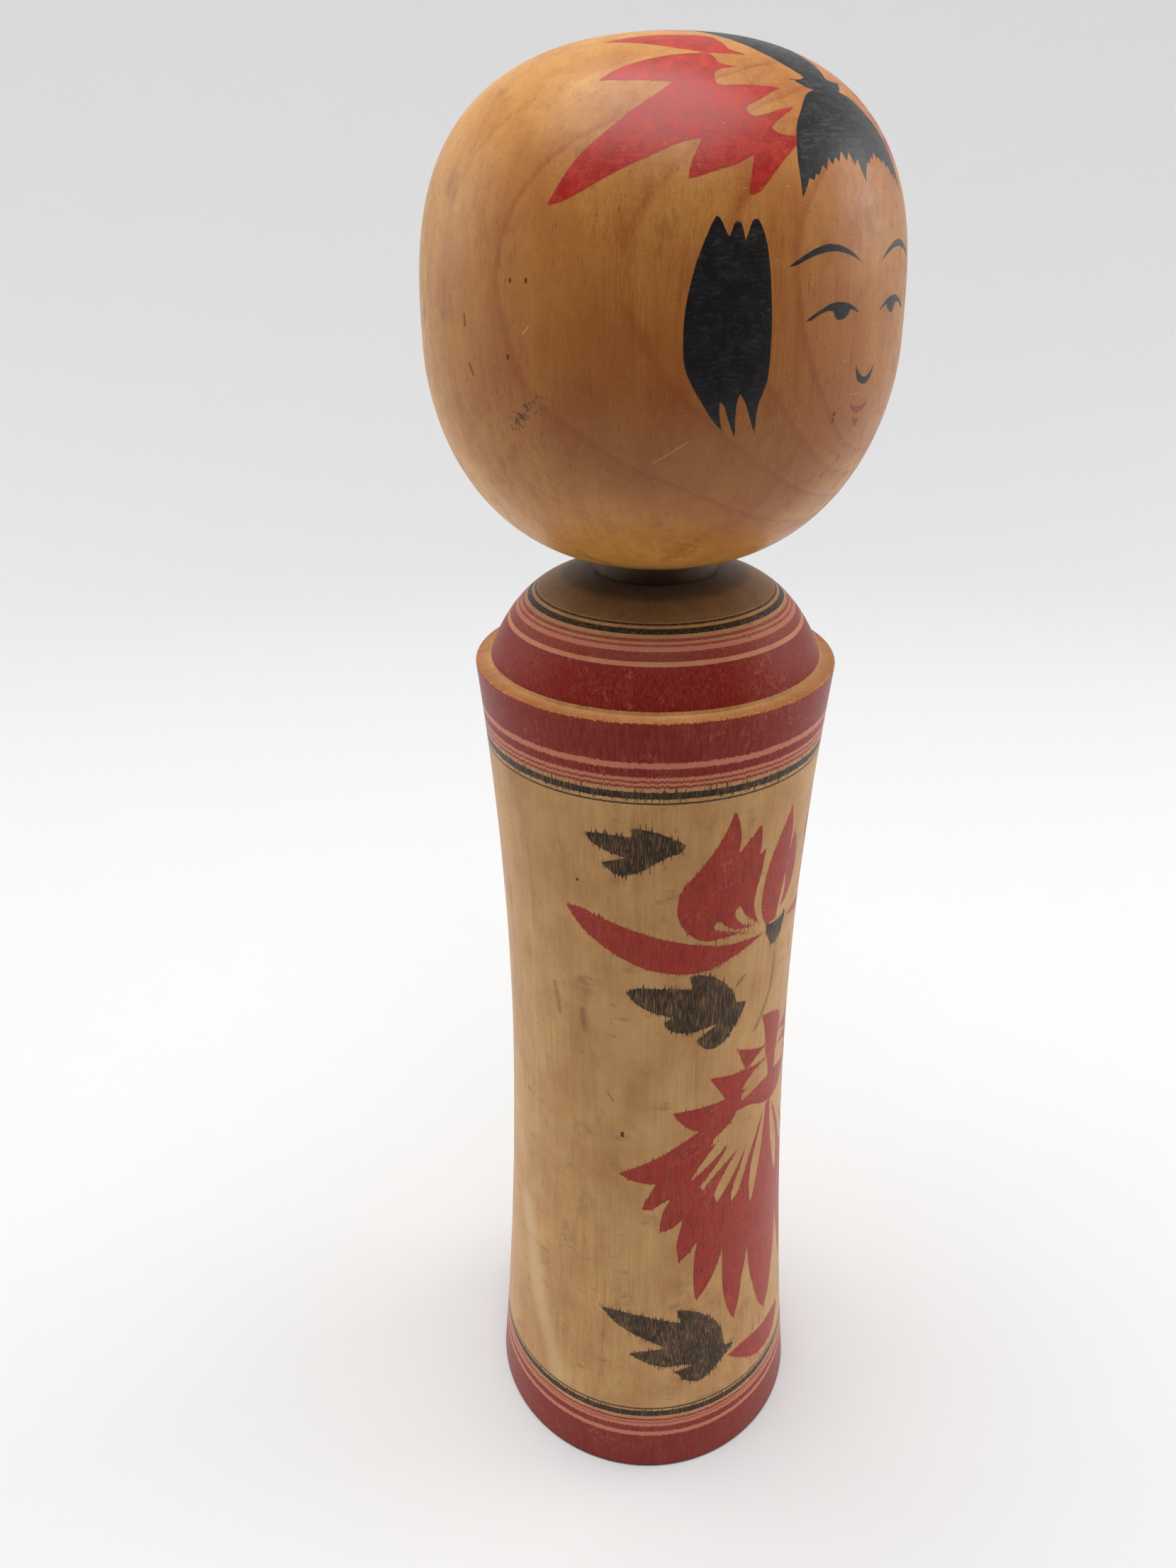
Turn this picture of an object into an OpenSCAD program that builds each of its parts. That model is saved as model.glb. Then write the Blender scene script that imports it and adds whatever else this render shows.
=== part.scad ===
// Turned wooden kokeshi doll with a stepped shoulder and a head that turns in its socket.
// The doll stands on its foot at z = 0, its axis is +Z and it faces -Y.
// Both pieces are turned on a lathe, so each is one outline revolved about the axis.

/* [Body flank] */
// Height of the body from the foot to the ledge of its shoulder
body_h = 198; // [160:1:230]
// Diameter of the foot
foot_d = 74.8; // [62:0.2:90]
// Diameter of the waist, the narrowest place
waist_d = 62.2; // [52:0.2:72]
// Diameter of the rim at the top of the flank
rim_d = 69.8; // [58:0.2:84]
// Height of the waist above the foot
waist_z = 118; // [90:1:140]
// Width of the small flats that break the edges of the foot and the rim
edge_break = 0.5; // [0.2:0.1:1]

/* [Shoulder] */
// Width of the ledge between the rim and the dome
ledge_w = 2.9; // [2:0.1:6]
// Height of the dome above the ledge
dome_h = 17.2; // [12:0.2:24]
// Diameter of the flat on the dome that the neck stands over
seat_d = 26; // [22:0.5:36]

/* [Underside] */
// Diameter of the hollow turned into the underside
hollow_d = 54; // [30:1:58]
// Depth of that hollow
hollow_depth = 1.2; // [0.5:0.1:3]

/* [Head] */
// Largest diameter of the head
head_d = 81.6; // [66:0.2:96]
// Height of the crown above the widest place
crown_h = 44.5; // [34:0.5:56]
// Depth of the chin below the widest place, if it ran on to the axis
chin_h = 38.5; // [30:0.5:46]
// Diameter of the neck
neck_d = 23.6; // [20:0.2:30]
// Height of the neck below the chin
neck_h = 2.9; // [1:0.1:12]

/* [Neck joint] */
// Diameter of the tenon below the neck
tenon_d = 19; // [14:0.5:20]
// Length of the tenon below the seat
tenon_len = 24; // [18:1:32]
// How far the bead at the tenon's end stands out
bead_h = 0.8; // [0.4:0.1:1.2]
// Length of that bead
bead_len = 8; // [5:0.5:10]
// Radial clearance between the tenon and its socket
fit_gap = 0.05; // [0.02:0.01:0.1]
// Clearance between the neck and its seat
seat_gap = 0.2; // [0.1:0.1:0.5]
// Clearance above and below the bead inside the socket
end_gap = 0.4; // [0.2:0.1:1]

/* [Hidden] */
$fn = 96;

wood = [0.79, 0.62, 0.42];
pale_wood = [0.84, 0.67, 0.45];

// Steps along each curved stretch of an outline
flank_steps = 14;
dome_steps = 12;
head_steps = 18;

foot_r = foot_d / 2;
waist_r = waist_d / 2;
rim_r = rim_d / 2;
dome_r = rim_r - ledge_w;
seat_r = seat_d / 2;
hollow_r = hollow_d / 2;
head_r = head_d / 2;
neck_r = neck_d / 2;
tenon_r = tenon_d / 2;
bead_r = tenon_r + bead_h;

// Powers that say how each curve bends: a large power is flat first and turns late
foot_power = 1.7;
rim_power = 2.1;
dome_powers = [3.88, 1.19];
crown_powers = [2.36, 3.01];
chin_powers = [2.54, 1.92];

// Radius of the flank at a height: it swells from the waist towards the foot and the rim
function flank_r(z) =
    z < waist_z
        ? waist_r + (foot_r - waist_r) * pow((waist_z - z) / waist_z, foot_power)
        : waist_r + (rim_r - waist_r) * pow((z - waist_z) / (body_h - waist_z), rim_power);

// Point of a quarter superellipse of radius r and height h: a = 0 is the widest place, a = 90 the pole
function quarter(r, h, powers, a) =
    [r * pow(cos(a), 2 / powers[0]), h * pow(sin(a), 2 / powers[1])];

// Angle at which that quarter has come in to a given radius
function angle_at(r, powers, at_r) = acos(pow(at_r / r, powers[0] / 2));

dome_end = angle_at(dome_r, dome_powers, seat_r);
chin_end = angle_at(head_r, chin_powers, neck_r);

seat_z = body_h + quarter(dome_r, dome_h, dome_powers, dome_end)[1];
neck_z = seat_z + seat_gap;
cheek_z = neck_z + neck_h + quarter(head_r, chin_h, chin_powers, chin_end)[1];
crown_z = cheek_z + crown_h;
tenon_z = seat_z - tenon_len;
bead_top = tenon_z + bead_len;

flank = [for (i = [0 : flank_steps])
    let (z = edge_break + (body_h - 2 * edge_break) * i / flank_steps)
    [flank_r(z), z]];

dome = [for (i = [0 : dome_steps])
    let (p = quarter(dome_r, dome_h, dome_powers, dome_end * i / dome_steps))
    [p[0], body_h + p[1]]];

chin = [for (i = [0 : head_steps])
    let (p = quarter(head_r, chin_h, chin_powers, chin_end * (1 - i / head_steps)))
    [p[0], cheek_z - p[1]]];

crown = [for (i = [1 : head_steps - 1])
    let (p = quarter(head_r, crown_h, crown_powers, 90 * i / head_steps))
    [p[0], cheek_z + p[1]]];

// The wall of the socket follows the tenon, one clearance outside it
socket = [
    [tenon_r + fit_gap, seat_z],
    [tenon_r + fit_gap, bead_top + end_gap + bead_h],
    [bead_r + fit_gap, bead_top + end_gap],
    [bead_r + fit_gap, tenon_z - end_gap],
    [0, tenon_z - end_gap]];

tenon = [
    [0, tenon_z],
    [tenon_r, tenon_z],
    [bead_r, tenon_z + bead_h],
    [bead_r, bead_top],
    [tenon_r, bead_top + bead_h],
    [tenon_r, neck_z]];

// Body: the flank with its ledge, the dome with the socket, and a hollow underside
module body() {
    color(wood)
    rotate_extrude()
    polygon(concat(
        [[hollow_r, 0], [foot_r - edge_break, 0]],
        flank,
        [[rim_r - edge_break, body_h]],
        dome,
        socket,
        [[0, hollow_depth], [hollow_r - hollow_depth, hollow_depth]]));
}

// Head: the skull, the neck below it, and the tenon with the bead that holds it in the socket
module head() {
    color(pale_wood)
    rotate_extrude()
    polygon(concat(
        tenon,
        [[neck_r, neck_z]],
        chin,
        crown,
        [[0, crown_z]]));
}

body();
head();
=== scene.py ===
"""Looks of a turned wooden kokeshi doll: two lathe pieces, painted with ink and dye and waxed.

Lengths are in millimetres until a mesh is made, and are then written in metres.
Azimuths are in degrees about the doll's axis: 0 is the middle of its face (-Y) and 90 its left (+X).
"""

import math

import bpy
import numpy as np
from mathutils import Matrix, Vector


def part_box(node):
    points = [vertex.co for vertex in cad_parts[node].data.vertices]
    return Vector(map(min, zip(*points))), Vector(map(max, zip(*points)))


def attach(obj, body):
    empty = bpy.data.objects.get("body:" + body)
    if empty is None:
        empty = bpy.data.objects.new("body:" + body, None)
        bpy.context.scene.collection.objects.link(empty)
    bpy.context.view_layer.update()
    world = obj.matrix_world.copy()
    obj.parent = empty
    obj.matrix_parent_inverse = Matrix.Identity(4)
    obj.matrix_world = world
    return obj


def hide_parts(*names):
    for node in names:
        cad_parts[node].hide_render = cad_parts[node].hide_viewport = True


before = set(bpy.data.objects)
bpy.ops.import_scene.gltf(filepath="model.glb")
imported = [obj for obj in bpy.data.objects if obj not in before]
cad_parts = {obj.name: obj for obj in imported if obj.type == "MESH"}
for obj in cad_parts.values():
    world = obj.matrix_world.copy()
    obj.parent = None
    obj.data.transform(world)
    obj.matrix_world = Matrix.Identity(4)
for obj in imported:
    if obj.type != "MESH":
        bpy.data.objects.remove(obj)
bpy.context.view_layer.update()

MM = 0.001

# ---------------------------------------------------------------- outlines of the two turned pieces

FOOT_R, WAIST_R, RIM_R = 37.4, 31.1, 34.9
WAIST_Z, LEDGE_Z = 118.0, 198.0
FOOT_POWER, RIM_POWER = 1.7, 2.1
LEDGE_W, DOME_H, SEAT_R = 2.9, 17.2, 13.0
DOME_POWERS = (3.88, 1.19)
EDGE_R = 0.5
INSET = 0.05  # how far those rounds stay inside the sharp outline
HOLLOW_R, HOLLOW_DEPTH = 27.0, 1.2

CROWN_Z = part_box("head")[1].z / MM
CROWN_H, CHIN_H, HEAD_R, NECK_R = 44.5, 38.5, 40.8, 11.8
CROWN_POWERS, CHIN_POWERS = (2.36, 3.01), (2.54, 1.92)
CHEEK_Z = CROWN_Z - CROWN_H

TENON_R, TENON_LEN, BEAD_H, BEAD_LEN = 9.5, 24.0, 0.8, 8.0
FIT_GAP, SEAT_GAP, END_GAP = 0.05, 0.2, 0.4

# Heights between which the leaves and flowers lie, and the face: the meshes are finer there
PICTURE, FACE = (19.0, 181.0), (244.5, 276.0)


def flank(z):
    """Radius of the body's flank: it swells from the waist by a power of the distance, down and up."""
    below = np.clip((WAIST_Z - z) / WAIST_Z, 0, 1) ** FOOT_POWER
    above = np.clip((z - WAIST_Z) / (LEDGE_Z - WAIST_Z), 0, 1) ** RIM_POWER
    return WAIST_R + (FOOT_R - WAIST_R) * below + (RIM_R - WAIST_R) * above


def quarter(r, h, powers, turn):
    """Points (radius, height) of a quarter superellipse, from its widest place (0) to its pole (1)."""
    a = np.asarray(turn, float) * math.pi / 2
    return r * np.cos(a).clip(0) ** (2 / powers[0]), h * np.sin(a).clip(0) ** (2 / powers[1])


def turn_at(r, powers, at_r):
    """How far along that quarter the radius has come in to at_r."""
    return math.acos((at_r / r) ** (powers[0] / 2)) * 2 / math.pi


def evenly(r, z, spacing):
    """Points along a densely given line, about spacing apart (a number, or a function of z)."""
    step = np.hypot(np.diff(r), np.diff(z))
    gap = spacing((z[1:] + z[:-1]) / 2) if callable(spacing) else spacing
    count = np.concatenate([[0], np.cumsum(step / gap)])
    at = np.linspace(0, count[-1], max(2, int(round(count[-1])) + 1))
    return np.interp(at, count, r), np.interp(at, count, z)


def edge_round(r, z, start):
    """A quarter circle of radius EDGE_R about (r, z), from the angle start on, against the clock."""
    a = np.radians(start + np.linspace(0, 90, 5))
    return r + EDGE_R * np.cos(a), z + EDGE_R * np.sin(a)


def joined(*stretches):
    """One outline from several: (radii, heights), without the points that repeat."""
    r = np.concatenate([np.atleast_1d(s[0]).astype(float) for s in stretches])
    z = np.concatenate([np.atleast_1d(s[1]).astype(float) for s in stretches])
    keep = np.concatenate([[True], np.hypot(np.diff(r), np.diff(z)) > 1e-4])
    return r[keep], z[keep]


def body_outline():
    """The body's outline: from the middle of the underside, up the flank, over the dome, into the socket."""
    end = turn_at(RIM_R - LEDGE_W, DOME_POWERS, SEAT_R)
    dome_r, dome_z = quarter(RIM_R - LEDGE_W, DOME_H, DOME_POWERS, np.linspace(0, end, 400))
    seat_z = LEDGE_Z + dome_z[-1]
    z = np.linspace(EDGE_R, LEDGE_Z - EDGE_R, 2000)
    wall, tenon_z = TENON_R + FIT_GAP, seat_z - TENON_LEN
    bead_top = tenon_z + BEAD_LEN + END_GAP
    return joined(
        ([0, HOLLOW_R - HOLLOW_DEPTH, HOLLOW_R], [HOLLOW_DEPTH, HOLLOW_DEPTH, 0]),
        edge_round(FOOT_R - EDGE_R - INSET, EDGE_R, -90),
        evenly(flank(z), z, lambda h: np.where((h > PICTURE[0]) & (h < PICTURE[1]), 0.56, 1.4)),
        edge_round(RIM_R - EDGE_R - INSET, LEDGE_Z - EDGE_R, 0),
        evenly(dome_r, LEDGE_Z + dome_z, 0.8),
        ([wall, wall, wall + BEAD_H, wall + BEAD_H, 0],
         [seat_z, bead_top + BEAD_H, bead_top, tenon_z - END_GAP, tenon_z - END_GAP]),
    ), seat_z


def head_outline(seat_z):
    """The head's outline from the tenon's end, up the neck, round the chin and cheek to the crown."""
    chin_end = turn_at(HEAD_R, CHIN_POWERS, NECK_R)
    chin_r, chin_z = quarter(HEAD_R, CHIN_H, CHIN_POWERS, np.linspace(chin_end, 0, 2000))
    top_r, top_z = quarter(HEAD_R, CROWN_H, CROWN_POWERS, np.linspace(0, 1, 4000))
    r = np.concatenate([chin_r, top_r[1:]])
    z = CHEEK_Z + np.concatenate([-chin_z, top_z[1:]])
    tenon_z = seat_z - TENON_LEN
    bead_top = tenon_z + BEAD_LEN

    neck_z = seat_z + SEAT_GAP

    def spacing(h):
        return np.where((h > FACE[0]) & (h < FACE[1]), 0.24, np.where(h > FACE[1], 0.5, 1.1))

    return joined(
        ([0, TENON_R, TENON_R + BEAD_H, TENON_R + BEAD_H, TENON_R, TENON_R, NECK_R],
         [tenon_z, tenon_z, tenon_z + BEAD_H, bead_top, bead_top + BEAD_H, neck_z, neck_z]),
        evenly(r, z, spacing),
    )


def columns(radius, zones):
    """Azimuths in radians once round, by zones of (degrees either side of the front, gap in mm)."""
    side, start = [], 0.0
    for reach, gap in zones:
        end = math.radians(reach)
        count = int(round((end - start) * radius / gap))
        side.append(np.linspace(start, end, count, endpoint=False))
        start = end
    side = np.concatenate(side)
    return np.concatenate([side, [math.pi], 2 * math.pi - side[:0:-1]])


class Turned:
    """A closed surface of revolution: the outline carried round the axis, with one vertex at each pole."""

    def __init__(self, name, r, z, azimuths):
        self.name = name
        self.rows, self.cols = len(r) - 2, len(azimuths)
        along = np.concatenate([[0], np.cumsum(np.hypot(np.diff(r), np.diff(z)))])
        self.r, self.z, self.along = (
            np.concatenate([[a[0]], np.repeat(a[1:-1], self.cols), [a[-1]]]) for a in (r, z, along))
        self.azimuth = np.concatenate([[0], np.tile(azimuths, self.rows), [0]])
        self.azimuth = (self.azimuth + math.pi) % (2 * math.pi) - math.pi

    def faces(self):
        """Quads between neighbouring rows and columns, and triangles round each pole, facing outwards."""
        def at(row, col):
            return 1 + row * self.cols + col

        i, j = np.meshgrid(np.arange(self.rows - 1), np.arange(self.cols), indexing="ij")
        k = (j + 1) % self.cols
        quads = np.stack([at(i, j), at(i, k), at(i + 1, k), at(i + 1, j)], -1).reshape(-1, 4)
        c = np.arange(self.cols)
        d = (c + 1) % self.cols
        low = np.stack([np.zeros_like(c), at(0, d), at(0, c)], -1)
        top = np.full_like(c, 1 + self.rows * self.cols)
        high = np.stack([top, at(self.rows - 1, c), at(self.rows - 1, d)], -1)
        return quads, np.concatenate([low, high])

    def make(self, wobble, attributes):
        """The mesh object, in metres: the radius less the hand's unevenness, and the paint's distances."""
        r = self.r - wobble
        co = np.stack([r * np.sin(self.azimuth), -r * np.cos(self.azimuth), self.z], -1) * MM
        quads, triangles = self.faces()
        mesh = bpy.data.meshes.new(self.name)
        mesh.from_pydata(co.tolist(), [], quads.tolist() + triangles.tolist())
        for key, values in attributes.items():
            layer = mesh.attributes.new(key, "FLOAT", "POINT")
            layer.data.foreach_set("value", np.ascontiguousarray(values, np.float32))
        mesh.polygons.foreach_set("use_smooth", np.ones(len(mesh.polygons), bool))
        mesh.set_sharp_from_angle(angle=math.radians(32))
        mesh.update()
        piece = bpy.data.objects.new(self.name, mesh)
        bpy.context.scene.collection.objects.link(piece)
        return piece


# ---------------------------------------------------------------- the painter's strokes

REACH = 5.0  # distances from a stroke's edge are kept up to this many mm


def brushed(points):
    """A closed outline as a fine line: through each (x, y), with a corner only at each [x, y].

    Between two points runs a cubic whose end tangents have the chord's length. At a smooth point they lie
    along the line between its neighbours, and at a corner along the chord itself."""
    p = np.array([list(q) for q in points], float)
    sharp = np.array([isinstance(q, list) for q in points])
    after, before = np.roll(p, -1, 0), np.roll(p, 1, 0)
    chord = after - p
    length = np.linalg.norm(chord, axis=1, keepdims=True) + 1e-9
    through = (after - before) / (np.linalg.norm(after - before, axis=1, keepdims=True) + 1e-9)
    start = np.where(sharp[:, None], chord / length, through)
    end = np.where(np.roll(sharp, -1)[:, None], chord / length, np.roll(through, -1, 0))
    t = np.linspace(0, 1, 7)[:-1][None, :, None]
    p0, p1 = p[:, None], after[:, None]
    m0, m1 = (start * length)[:, None], (end * length)[:, None]
    line = ((2 * t**3 - 3 * t**2 + 1) * p0 + (t**3 - 2 * t**2 + t) * m0
            + (3 * t**2 - 2 * t**3) * p1 + (t**3 - t**2) * m1)
    return line.reshape(-1, 2)


def trail(points, width):
    """A thin line as an outline: down one side of its points and back up the other, pointed at both ends."""
    p = np.array(points, float)
    along = np.gradient(p, axis=0)
    side = np.stack([-along[:, 1], along[:, 0]], -1)
    side *= width / 2 / np.linalg.norm(side, axis=1, keepdims=True)
    left, right = p + side, p - side
    return ([list(p[0])] + [tuple(q) for q in left[1:-1]] + [list(p[-1])]
            + [tuple(q) for q in right[-2:0:-1]])


def mirrored(points, about=0.0):
    """The same outline on the other side of x = about."""
    return [type(q)([2 * about - q[0], q[1]]) for q in reversed(points)]


def moved(points, dx, dy, grow=1.0):
    """The outline grown about its first point and moved."""
    x0, y0 = points[0]
    return [type(q)([x0 + (q[0] - x0) * grow + dx, y0 + (q[1] - y0) * grow + dy]) for q in points]


def from_edge(x, y, loop):
    """Signed distance of each point from a closed line, below 0 inside, and how far that edge runs level."""
    d, level = np.full(len(x), REACH), np.zeros(len(x))
    low, high = loop.min(0) - REACH, loop.max(0) + REACH
    near = np.flatnonzero((x > low[0]) & (x < high[0]) & (y > low[1]) & (y < high[1]))
    px, py = x[near, None], y[near, None]
    best, rise, inside = np.full(len(near), 1e9), np.zeros(len(near)), np.zeros(len(near), bool)
    ends = np.roll(loop, -1, 0)
    for s in range(0, len(loop), 48):
        (ax, ay), (bx, by) = loop[s:s + 48].T, ends[s:s + 48].T
        ex, ey = bx - ax, by - ay
        t = np.clip(((px - ax) * ex + (py - ay) * ey) / (ex**2 + ey**2 + 1e-12), 0, 1)
        dx, dy = px - ax - t * ex, py - ay - t * ey
        dd = dx**2 + dy**2
        k = dd.argmin(1)
        rows = np.arange(len(near))
        better = dd[rows, k] < best
        best = np.where(better, dd[rows, k], best)
        rise = np.where(better, np.abs(dy[rows, k]) / np.sqrt(dd[rows, k] + 1e-9), rise)
        crosses = (ay > py) != (by > py)
        at = ax + (py - ay) * ex / np.where(ey == 0, 1e-9, ey)
        inside ^= (crosses & (px < at)).sum(1) % 2 == 1
    d[near] = np.clip(np.where(inside, -1, 1) * np.sqrt(best), -REACH, REACH)
    level[near] = rise
    return d, level


def painted(x, y, outlines, scale=(1.0, 1.0)):
    """Distance from the nearest of several strokes, laid over each other, and how level that edge runs."""
    d, level = np.full(len(x), REACH), np.zeros(len(x))
    for points in outlines:
        e, rise = from_edge(x, y, brushed(points) * scale)
        level = np.where(e < d, rise, level)
        d = np.minimum(d, e)
    return d, level


# Strokes on the body, as (azimuth in degrees, height in mm)
LEAF_1 = [
    [-73.1, 174.2], (-67.5, 174.6), (-62, 174.5), [-56.5, 174.3], [-57.6, 176.4], (-53, 176.1),
    (-48.7, 175.5), (-44.2, 174.3), [-39.3, 172.6], (-41.5, 170.9), (-44.6, 170.4), (-48.7, 169),
    (-53.1, 167.2), (-57.6, 166.1), (-61.2, 165.9), (-64.3, 166.7), [-67.3, 168.3], (-63, 169),
    [-58.7, 169.9], (-63.4, 170.5), (-69.3, 172)]
LEAF_2 = [
    [-59, 138.6], (-54.9, 139.7), (-48.7, 139.7), (-41.5, 139.5), [-34.3, 138.9], [-36.6, 142.3],
    (-31.7, 142.1), (-26.3, 140.7), (-21.8, 138.5), (-18.2, 135.7), [-16.2, 132.6], [-11.2, 132],
    (-12.9, 129.7), (-15.1, 127.7), (-18.2, 125.2), (-21.8, 123.5), (-24.9, 122.7), (-29, 123.3),
    [-32.4, 125.8], (-28.1, 127.5), [-23.2, 129.1], (-27.2, 128.7), (-33.4, 128.1), (-39.7, 128.4),
    (-43.3, 129.5), [-45.3, 131.2], [-41.5, 132.3], (-46, 133.2), (-51.3, 134.4), (-55.8, 136.2)]
LEAF_3 = [
    [-68, 50.1], (-60.4, 49.9), (-51.7, 49), (-43.9, 47.7), [-35.6, 45.9], (-36.9, 48), [-37.8, 50.2],
    (-32.6, 49.3), (-26.5, 47), (-21.3, 43.5), (-18.3, 40), (-17.4, 36.5), [-16.6, 34], [-12.2, 33.5],
    (-14.4, 31.7), (-17.8, 30.5), (-20.4, 29), (-23.9, 27.2), (-27.4, 26.2), (-30.9, 26.5), (-34.3, 27.7),
    (-36.5, 29.4), [-38.5, 30.9], (-34.3, 31.1), [-30.7, 31.6], (-33.5, 32.4), (-37.8, 32.6), (-43.9, 33),
    (-50, 34.5), (-53.4, 35.7), [-56.2, 37], (-50.8, 37.8), (-45.6, 38.3), [-41.2, 38.8], (-46.5, 40.5),
    (-51.7, 42.3), (-57.8, 44.5), (-63, 46.8)]
LEAF_AXIS = 5.0

BUD_AXIS = 2.0
BUD_SIDE = [
    [-23.4, 178.6], (-21.4, 175.7), (-20.2, 172.5), [-20.5, 168.7], (-17.3, 170.6), [-12.2, 173.9],
    (-11.1, 169.5), [-11.6, 166.7], [-8.6, 167.9], (-9.7, 162.5), (-11.3, 158.5), (-11.8, 155.5),
    (-10.4, 152.8), [-7.8, 149.9], (-11, 151.6), (-15.5, 154), [-18.2, 156.7], (-19.9, 155), (-18, 152.8),
    (-14.6, 151.3), [-10.2, 150.4], (-14.2, 150.6), (-19.1, 151.2), (-22.7, 152.4), [-26.3, 154.4],
    (-28, 152.9), (-24.5, 151.6), (-17.3, 150.2), [-10.2, 148.6], (-15.5, 149.5), (-22.7, 150),
    (-29.9, 150), (-34.3, 151), (-38.4, 153.2), (-40.9, 156), (-41.5, 159), (-40.2, 162.5), (-36.1, 165.5),
    (-31.7, 168.9), (-28.1, 172), (-25.4, 175.2)]
BUD_LONG = [
    [-5.2, 147.3], (-13.8, 145.7), (-20.9, 144.4), (-29, 143), (-37, 142.8), (-45.1, 143.5), (-53.1, 144.7),
    (-62.1, 147.2), (-69.3, 149.7), (-75.5, 152.5), [-81.2, 156.8], (-74.6, 156.8), (-69.3, 155.8),
    (-62.1, 154.5), (-53.1, 152.8), (-44.2, 151.2), (-37, 150), (-29.9, 149), (-24.5, 148.1),
    (-17.3, 147.7)]
BUD_MIDDLE = [
    [3.7, 174.6], (1, 171.7), (-2.6, 168), (-5.7, 164), (-7.3, 160), (-7.9, 156), (-7.3, 152.5),
    [-4.4, 148.9], [1.5, 148.9], (2.8, 153), (4.2, 157), (5.5, 162), (6.3, 167), (5.4, 171)]
BUD_RIGHT = [
    [8.6, 167.9], (6.7, 164.5), (5.5, 160), (5.8, 155), [4.2, 151], (7.3, 152), (10.4, 154.5), (12.6, 158),
    (12.2, 162), (10.6, 165.5)]
CALYX = [
    [-4.2, 148.9], (-1.2, 148.4), (4.2, 148.2), [8.8, 149], (8.6, 147.2), (6.4, 144.8), (4.2, 143),
    (1.9, 142.6), (-0.8, 144), (-3, 146.2)]
STEMS = [
    ([(3.6, 142.6), (3.8, 138), (3.4, 134), (1.9, 130), (-1.2, 126.5), (-4.4, 123.5), (-6.6, 122.1)], 1.0),
    ([(-11.7, 139.4), (-15, 137.9), (-18.2, 136.2)], 0.9),
    ([(0.2, 35.6), (-0.9, 32.6), (0, 30)], 0.8),
    ([(5.2, 35.5), (3.9, 32.6), (3.4, 30)], 0.8)]

MUM_AXIS = 7.2
MUM_EDGE = [
    [-10, 104.8], (-10.6, 106.7), [-7.8, 107.9], (-12.3, 108.1), (-21.2, 107.8), (-30.2, 107.6),
    [-40.9, 107.4], (-37.4, 104.5), (-33.3, 102.3), [-29.5, 101.3], (-37.4, 98.7), (-45.4, 95.7),
    (-54.4, 92.7), [-61.5, 90.5], (-57, 89.1), (-51.7, 88.3), [-46.8, 88.1], (-50.3, 83.5), [-52.1, 81],
    (-48.5, 80.8), (-44.5, 82.5), [-40.5, 83.8], (-42.7, 81.5), (-44.5, 78), [-45, 74.5], (-42.3, 74.6),
    (-38.7, 75.7), [-35.6, 77.4], (-36.9, 74), (-38.1, 69.5), [-37.1, 64.8], (-33.8, 66.6), [-29.6, 69.9],
    (-30.7, 65), (-31, 59), (-30.6, 55), [-29.7, 51.8], (-26.5, 54.2), (-23.5, 57), (-20.4, 61),
    [-18.2, 65], (-18.1, 58), (-17.4, 51), (-15.2, 45), [-12.2, 40.6], (-9.6, 46), (-7.9, 52), (-5.7, 58),
    [-5, 63], (-4.4, 59.5), (-3.1, 52), (-0.5, 46), (3, 39), [7.2, 35.1]]
MUM_FAN = [
    [7.2, 100], [-8.7, 104.5], (-12.3, 103.5), (-15, 101.4), (-18.6, 99.8), [-23, 98.3], (-24.8, 96.2),
    [-30.2, 94.2], (-26, 95.6), [-21.2, 97.2], (-25.3, 94.4), (-30.2, 90.8), [-33.3, 87.5], (-26.6, 90.6),
    (-21.2, 93), [-15.9, 95.4], (-21.2, 91), (-25.7, 88), [-28.8, 85.7], [-27.7, 84.4], (-23, 87.4),
    (-17.7, 89.9), [-11.6, 92.2], (-15.9, 89), (-20.3, 85), [-22.6, 82], [-21.2, 79.4], (-15.9, 83.5),
    (-11.4, 87.2), [-6.5, 92.4], (-8.9, 88), (-12.3, 83.5), [-14.2, 80.5], [-14.3, 77.7], (-11.4, 79.2),
    (-7.8, 83.5), (-5, 88), (-1.5, 92), [4.2, 98.5], (3, 96), (0.2, 91.5), (-3.3, 85), (-4.2, 80),
    [-3.8, 73.8], (-2.2, 75), (0.7, 81), (3.4, 88), [5.6, 99]]
MUM_TOP = [
    [-1.1, 125.1], (5.6, 124), (11.9, 122.2), (14.6, 120), (14.1, 116.5), (11.9, 111.5), [11.2, 106],
    [6.4, 106], (5.2, 110.5), (3.4, 114), (2.4, 118), (0.7, 122)]
MUM_UPPER = [
    [-14.3, 120.1], (-8.7, 118.5), (-3.3, 117.2), [2.4, 116], (-1.5, 115.4), (-6, 114), [-9.2, 113.4],
    (-11.8, 117)]
MUM_MIDDLE = [
    [-26.6, 115.1], (-19.4, 114.1), (-12.3, 113.6), (-5.1, 113), [4.4, 112.4], (-1.5, 111.8), (-6, 110.8),
    (-9.6, 109), [-11.4, 106.8], [-18.1, 107.6], (-22.1, 111.2)]
MUM_LENS = [
    [-13, 104.6], (-3.3, 106.2), (5.6, 106.7), (14.6, 106.3), [26.2, 104.6], (18.2, 99.9), (10.1, 99.1),
    (1.1, 100.7), (-5.1, 102.6), [-14, 103.4]]
LOW_LEAF = [
    [-15, 30], (-8.3, 30.8), (-2.2, 30.6), (6.5, 29.9), (15.1, 29.7), [22.5, 28], (17.8, 23.7),
    (12.5, 21.8), (5.6, 22), (-0.5, 23), (-6.6, 25.5), (-11.8, 28)]

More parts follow.
